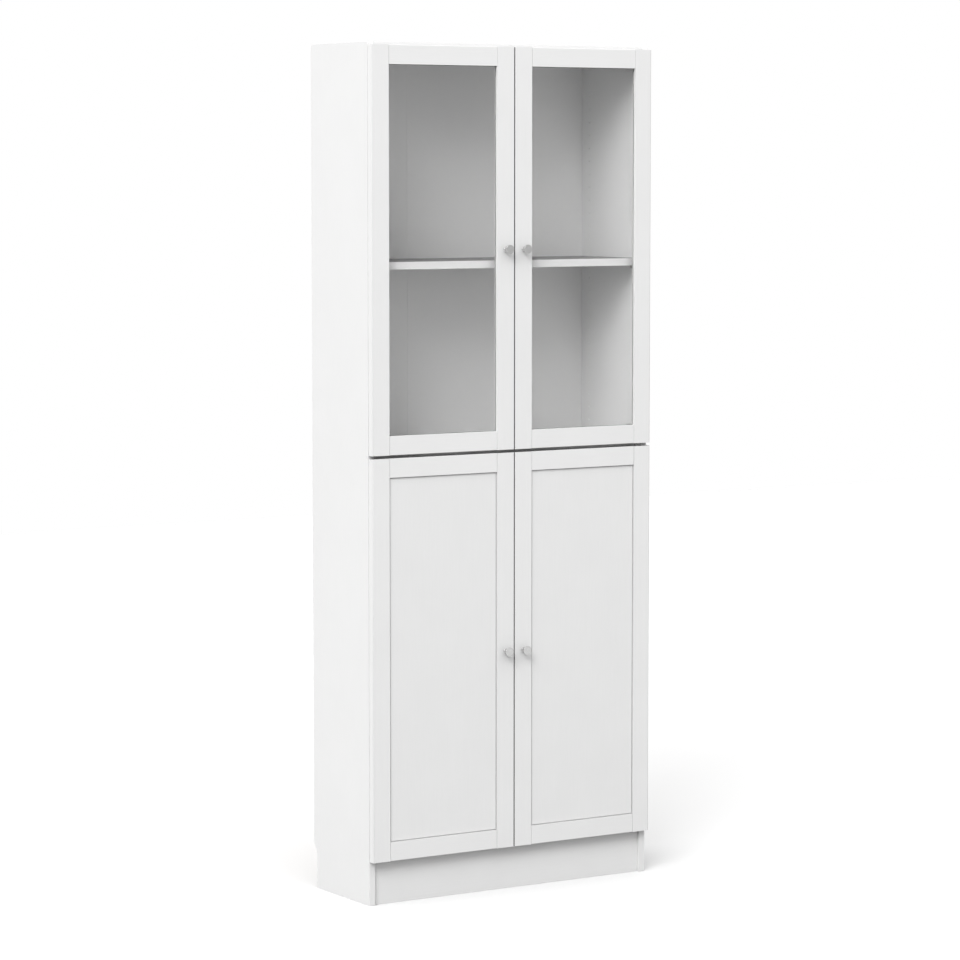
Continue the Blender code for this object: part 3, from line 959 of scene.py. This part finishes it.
def knob_profile(length, head):
    """A flat face with a soft edge, a thin rim, a cone that narrows to the neck, and a foot ring."""
    neck, foot, rim, soft, arris = 0.0052, 0.0062, 0.0014, 0.0006, 0.0003
    neck_height, flare, curve, cone_steps = 0.0034, 0.0022, 1.15, 14
    under = length - soft - rim
    profile = [(0.0, length)]
    for sine, cosine in quarter(6):
        profile.append((head - soft + soft * sine, length - soft + soft * cosine))
    for step in range(cone_steps + 1):
        share = step / cone_steps
        profile.append((head - (head - neck) * share, under - (under - neck_height) * share**curve))
    for sine, cosine in quarter(6, 1):
        profile.append((neck + (foot - neck) * (1 - cosine), neck_height - flare * sine))
    return profile + [(foot, arris), (foot - arris, 0.0), (0.0, 0.0)]


def make_knob(door):
    """Flared satin knob, with its origin on its axis for the rings of its material."""
    node = door.prefix + "knob"
    low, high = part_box(node)
    profile = knob_profile(high.y - low.y, (high.x - low.x) / 2)
    spot = Vector(((low.x + high.x) / 2, high.y, (low.z + high.z) / 2))
    shape = turned_shape(profile, 72, Matrix.Rotation(math.pi / 2, 4, "X"))
    name = door.prefix + "turned_knob"
    piece = link(name, mesh_from(shape, name), "knob")
    piece.location = spot
    settle(piece, door.body, "knob", node, angle=30.0)
    make_knob_screw(door, spot)


def screw_head(radius, rise, place):
    """A domed screw head with a cross recess, as a body and its cutter."""
    sunk = 0.0003
    profile = [(0.0, rise)]
    profile += [(radius * sine, rise * cosine) for sine, cosine in quarter(6, 1)]
    profile += [(radius, -sunk), (0.0, -sunk)]
    body = turned_shape(profile, 28, place)
    arm, width, depth = radius * 0.55, radius * 0.11, rise * 0.7
    return body, cross_shape(arm, width, depth, place @ Matrix.Translation((0.0, 0.0, rise)))


def make_screws(name, places, radius, rise, body):
    """Screw heads at the given placing matrices, as one piece."""
    heads, recesses = bmesh.new(), bmesh.new()
    for place in places:
        head, recess = screw_head(radius, rise, place)
        add_shape(heads, head)
        add_shape(recesses, recess)
    piece = link(name, mesh_from(heads, name), "steel")
    carve(piece, recesses)
    settle(piece, body, "steel")


def make_knob_screw(door, spot):
    radius, rise = 0.0038, 0.0012
    place = toward_rear((spot.x, DOOR_BACK, spot.z))
    make_screws(door.prefix + "knob_screw", [place], radius, rise, door.body)


# ---- hinges


def cup_profile(depth, flange):
    """Bottom, outer wall, rim that stands on the door's back, and inner wall of the cup."""
    outer, wall, corner, lip = 0.0171, 0.0008, 0.0025, 0.0004
    rim, rim_edge, rim_gap = 0.0190, 0.0188, 0.0003
    inner = outer - wall
    profile = [(0.0, depth)]
    for sine, cosine in quarter(4):
        profile.append((outer - corner + corner * sine, depth - corner + corner * cosine))
    profile += [(outer, -rim_gap), (rim_edge, -rim_gap), (rim, -2 * rim_gap), (rim_edge, -flange)]
    profile += [(inner + lip, -flange), (inner, -flange + lip)]
    for sine, cosine in reversed(quarter(4)):
        profile.append((inner - corner + corner * sine, depth - wall - corner + corner * cosine))
    return profile + [(0.0, depth - wall)]


def make_hinge_cup(door, end):
    """Deep-drawn cup with a rolled rim, bored into the stile."""
    node = f"{door.prefix}{end}_hinge_cup"
    low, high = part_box(node)
    profile = cup_profile(DOOR_BACK - low.y, high.y - DOOR_BACK)
    shape = turned_shape(profile, 56, toward_front((door.cup_x, DOOR_BACK, door.cup_height(end))))
    add_piece(shape, f"{door.prefix}{end}_drawn_hinge_cup", "steel", door.body, "steel", node)


def make_hinge_wing(door, end):
    """Wing plate of the cup, on the door's back, with its two screws."""
    width, length, corner, thickness, middle = 0.013, 0.060, 0.005, 0.0007, 0.0007
    hole_radius, hole_depth = 0.0192, 0.010
    screw_radius, screw_rise, screw_seat = 0.0036, 0.0004, 0.00105
    height = door.cup_height(end)
    wing_x = door.cup_x - door.sign * SCREW_OFFSET
    place = toward_front((wing_x, DOOR_BACK + middle, height))
    wing = prism_shape(rounded_outline(width, length, corner), thickness, place)
    name = f"{door.prefix}{end}_hinge_wing"
    plate = link(name, mesh_from(wing, name), "steel")
    carve(plate, drill_shape([(door.cup_x, DOOR_BACK, height)], hole_radius, hole_depth, "Y"))
    settle(plate, door.body, "steel")
    screws = []
    for up in (-1, 1):
        screws.append(toward_rear((wing_x, DOOR_BACK + screw_seat, height + up * SCREW_SPREAD)))
    make_screws(name + "_screws", screws, screw_radius, screw_rise, door.body)


def arm_measures(door, end):
    """The middle height of an arm, half its width, the board's inner face and the reach off it."""
    low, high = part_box(f"{door.prefix}{end}_hinge_arm")
    wall = door.sign * INNER_HALF_WIDTH
    top = abs(wall) - min(abs(low.x), abs(high.x))
    return (low.z + high.z) / 2, (high.z - low.z) / 2, wall, top


def make_hinge_plate(door, end):
    """Mounting plate on the side board: a winged sheet and the block that the arm lies on."""
    width, length, corner, thickness, middle = 0.017, 0.052, 0.005, 0.0020, 0.0013
    block_reach, block_depth, block_share, block_round = (0.0003, 0.0085), (0.018, 0.053), 0.72, 0.001
    height, half, wall, _ = arm_measures(door, end)
    spot = (wall - door.sign * middle, CARCASS_FRONT + PIN_HOLE_COLUMNS[0], height)
    place = Matrix.Translation(spot) @ Matrix.Rotation(math.pi / 2, 4, "Y")
    wing = prism_shape(rounded_outline(width, length, corner), thickness, place)
    across = sorted(wall - door.sign * reach for reach in block_reach)
    block = box_shape(
        (across[0], CARCASS_FRONT + block_depth[0], height - half * block_share),
        (across[1], CARCASS_FRONT + block_depth[1], height + half * block_share),
    )
    round_edges(block, sharp_edges(block), block_round, 2)
    add_shape(wing, block)
    add_piece(wing, f"{door.prefix}{end}_hinge_plate", "steel", "root", "steel")


def arm_outline(top, start, stop):
    """Side view of the arm as (distance off the board, place along Y), with a rounded tail and nose."""
    foot, heel, tail = 0.0060, 0.009, 0.003
    nose_reach, nose_length = 0.004, 0.006
    tip = ((0.0068, 0.0), (0.0062, 0.004))
    outline = [(foot, start + heel), (foot, stop)]
    for sine, cosine in quarter(4):
        outline.append((top - tail + tail * sine, stop - tail + tail * cosine))
    for sine, cosine in quarter(6):
        outline.append((top - nose_reach + nose_reach * cosine, start + nose_length - nose_length * sine))
    return outline + [(reach, start + along) for reach, along in tip]


def make_hinge_arm(door, end):
    """Channel arm over its mounting plate."""
    sheet, hollow_foot, past = 0.0012, 0.0040, 0.002
    node = f"{door.prefix}{end}_hinge_arm"
    low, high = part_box(node)
    height, half, wall, top = arm_measures(door, end)
    outline = arm_outline(top, low.y, high.y)
    points = [(wall - door.sign * reach, along) for reach, along in outline]
    arm = prism_shape(points, 2 * half, Matrix.Translation((0.0, 0.0, height)))
    name = f"{door.prefix}{end}_channel_arm"
    piece = link(name, mesh_from(arm, name), "steel")
    across = sorted(wall - door.sign * reach for reach in (hollow_foot, top - sheet))
    hollow = box_shape(
        (across[0], low.y - past, height - half + sheet),
        (across[1], high.y + past, height + half - sheet),
    )
    carve(piece, hollow)
    settle(piece, "root", "steel", node)


def make_arm_screws(door, end):
    """The adjusting and the fixing screw on top of the arm."""
    radius, rise, gap, places = 0.0035, 0.0008, 0.0001, (0.022, 0.042)
    height, _, wall, top = arm_measures(door, end)
    facing = Matrix.Rotation(-door.sign * math.pi / 2, 4, "Y")
    screws = []
    for along in places:
        spot = (wall - door.sign * (top + gap), CARCASS_FRONT + along, height)
        screws.append(Matrix.Translation(spot) @ facing)
    make_screws(f"{door.prefix}{end}_hinge_arm_screws", screws, radius, rise, "root")


def make_hinge_link(door, end):
    """The two links between arm and cup, running from the carcass to the door."""
    inset, arm_end, cup_end, apart = 0.0092, 0.012, 0.0075, 0.0018
    half, thickness, steps = 0.0042, 0.0011, 24
    height = door.cup_height(end)
    wall = door.sign * INNER_HALF_WIDTH
    across = wall - door.sign * inset
    start = CARCASS_FRONT + arm_end
    stop = DOOR_BACK - cup_end
    body = bmesh.new()
    for offset in (-1, 1):
        x = across + offset * apart
        rows = []
        for step in range(steps + 1):
            y = start + (stop - start) * (step / steps)
            row = []
            for dx, dz in ((-1, -1), (1, -1), (1, 1), (-1, 1)):
                row.append(body.verts.new((x + dx * thickness / 2, y, height + dz * half)))
            rows.append(row)
        for row, following in zip(rows, rows[1:]):
            for index in range(4):
                after = (index + 1) % 4
                body.faces.new((row[index], row[after], following[after], following[index]))
        body.faces.new(rows[0][::-1])
        body.faces.new(rows[-1])
    bmesh.ops.recalc_face_normals(body, faces=body.faces)
    name = f"{door.prefix}{end}_hinge_links"
    piece = link(name, mesh_from(body, name), "steel")
    soften(piece, SHARP_ANGLE)
    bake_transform(piece)


# ---- studio


def make_floor():
    shape = bmesh.new()
    bmesh.ops.create_grid(shape, x_segments=8, y_segments=8, size=FLOOR_REACH)
    floor = link("studio_floor", mesh_from(shape, "studio_floor"), "floor")


def sky_ramp(tree, height):
    """The room's brightness by height, from SKY."""
    ramp = tree.nodes.new("ShaderNodeValToRGB")
    first, last = ramp.color_ramp.elements
    first.position, last.position = SKY[0][0], SKY[-1][0]
    first.color = (SKY[0][1],) * 3 + (1.0,)
    last.color = (SKY[-1][1],) * 3 + (1.0,)
    for position, level in SKY[1:-1]:
        ramp.color_ramp.elements.new(position).color = (level, level, level, 1.0)
    tree.links.new(height, ramp.inputs["Fac"])
    return ramp.outputs["Color"]


def make_world():
    """A room that is bright overhead and dimmer round the horizon; the camera sees plain white."""
    world = bpy.data.worlds.new("studio_world")
    bpy.context.scene.world = world
    world.use_nodes = True
    tree = world.node_tree
    background = tree.nodes["Background"]
    coordinates = tree.nodes.new("ShaderNodeTexCoord")
    split = tree.nodes.new("ShaderNodeSeparateXYZ")
    tree.links.new(coordinates.outputs["Generated"], split.inputs["Vector"])
    height = spread(tree, split.outputs["Z"], 0.0, 1.0, -1.0, 1.0)
    along = tree.nodes.new("ShaderNodeVectorMath")
    along.operation = "DOT_PRODUCT"
    along.inputs[1].default_value = BRIGHT_SIDE
    tree.links.new(coordinates.outputs["Generated"], along.inputs[0])
    share = spread(tree, along.outputs["Value"], 1.0 - BRIGHT_SHARE, 1.0 + BRIGHT_SHARE, -1.0, 1.0)
    level = tree.nodes.new("ShaderNodeMath")
    level.operation = "MULTIPLY"
    tree.links.new(sky_ramp(tree, height), level.inputs[0])
    tree.links.new(share, level.inputs[1])
    seen = except_for(tree, "Is Camera Ray", level.outputs["Value"], (1.0, 1.0, 1.0))
    tree.links.new(seen, background.inputs["Color"])
    background.inputs["Strength"].default_value = 1.0


def make_key():
    """The softbox, up on the left."""
    turn, rise = math.radians(KEY_TURN), math.radians(KEY_RISE)
    flat = math.cos(rise)
    toward = Vector((-math.sin(turn) * flat, -math.cos(turn) * flat, math.sin(rise)))
    middle = Vector((0.0, 0.0, HEIGHT * KEY_AIM))
    light = bpy.data.lights.new("key", "AREA")
    light.shape = "RECTANGLE"
    light.size, light.size_y = KEY_SIZE, KEY_SIZE
    light.energy = KEY_POWER
    lamp = new_object("key", light)
    lamp.location = middle + toward * KEY_DISTANCE
    lamp.rotation_euler = (middle - lamp.location).to_track_quat("-Z", "Y").to_euler()


def make_lights():
    make_world()
    make_key()
    scene = bpy.context.scene
    scene.view_settings.view_transform = "Standard"
    scene.view_settings.look = "None"
    scene.cycles.use_denoising = True
    scene.cycles.max_bounces = 12
    scene.cycles.diffuse_bounces = 2
    scene.cycles.transmission_bounces = 10
    scene.cycles.transparent_max_bounces = 12
    scene.cycles.caustics_reflective = False


def make_camera():
    data = bpy.data.cameras.new("camera")
    data.lens = CAMERA_LENS
    data.sensor_width = 36.0
    data.clip_end = 100.0
    camera = new_object("camera", data)
    camera.location = CAMERA_PLACE
    tilt = math.radians(90.0 - CAMERA_TILT)
    camera.rotation_euler = (tilt, 0.0, -math.radians(CAMERA_HEADING))
    bpy.context.scene.camera = camera


# ---- all of it


def make_cabinet():
    for side, sign in SIDES:
        make_side(side, sign)
    for node in ("top_panel", "bottom_panel", "fixed_shelf", "upper_shelf", "lower_shelf", "plinth"):
        make_board(node, node.replace("_panel", "_board").replace("plinth", "plinth_board") + "_foiled")
    make_back()
    make_cam_locks()
    make_shelf_pins()
    for level in LEVELS:
        for side, sign in SIDES:
            door = Door(level, side, sign)
            make_door_frame(door)
            if level == "upper":
                make_glazing(door)
            else:
                make_infill(door)
            make_beads(door)
            make_knob(door)
            for end in ENDS:
                make_hinge_cup(door, end)
                make_hinge_wing(door, end)
                make_hinge_plate(door, end)
                make_hinge_arm(door, end)
                make_arm_screws(door, end)
                make_hinge_link(door, end)


make_cabinet()
make_floor()
make_lights()
make_camera()
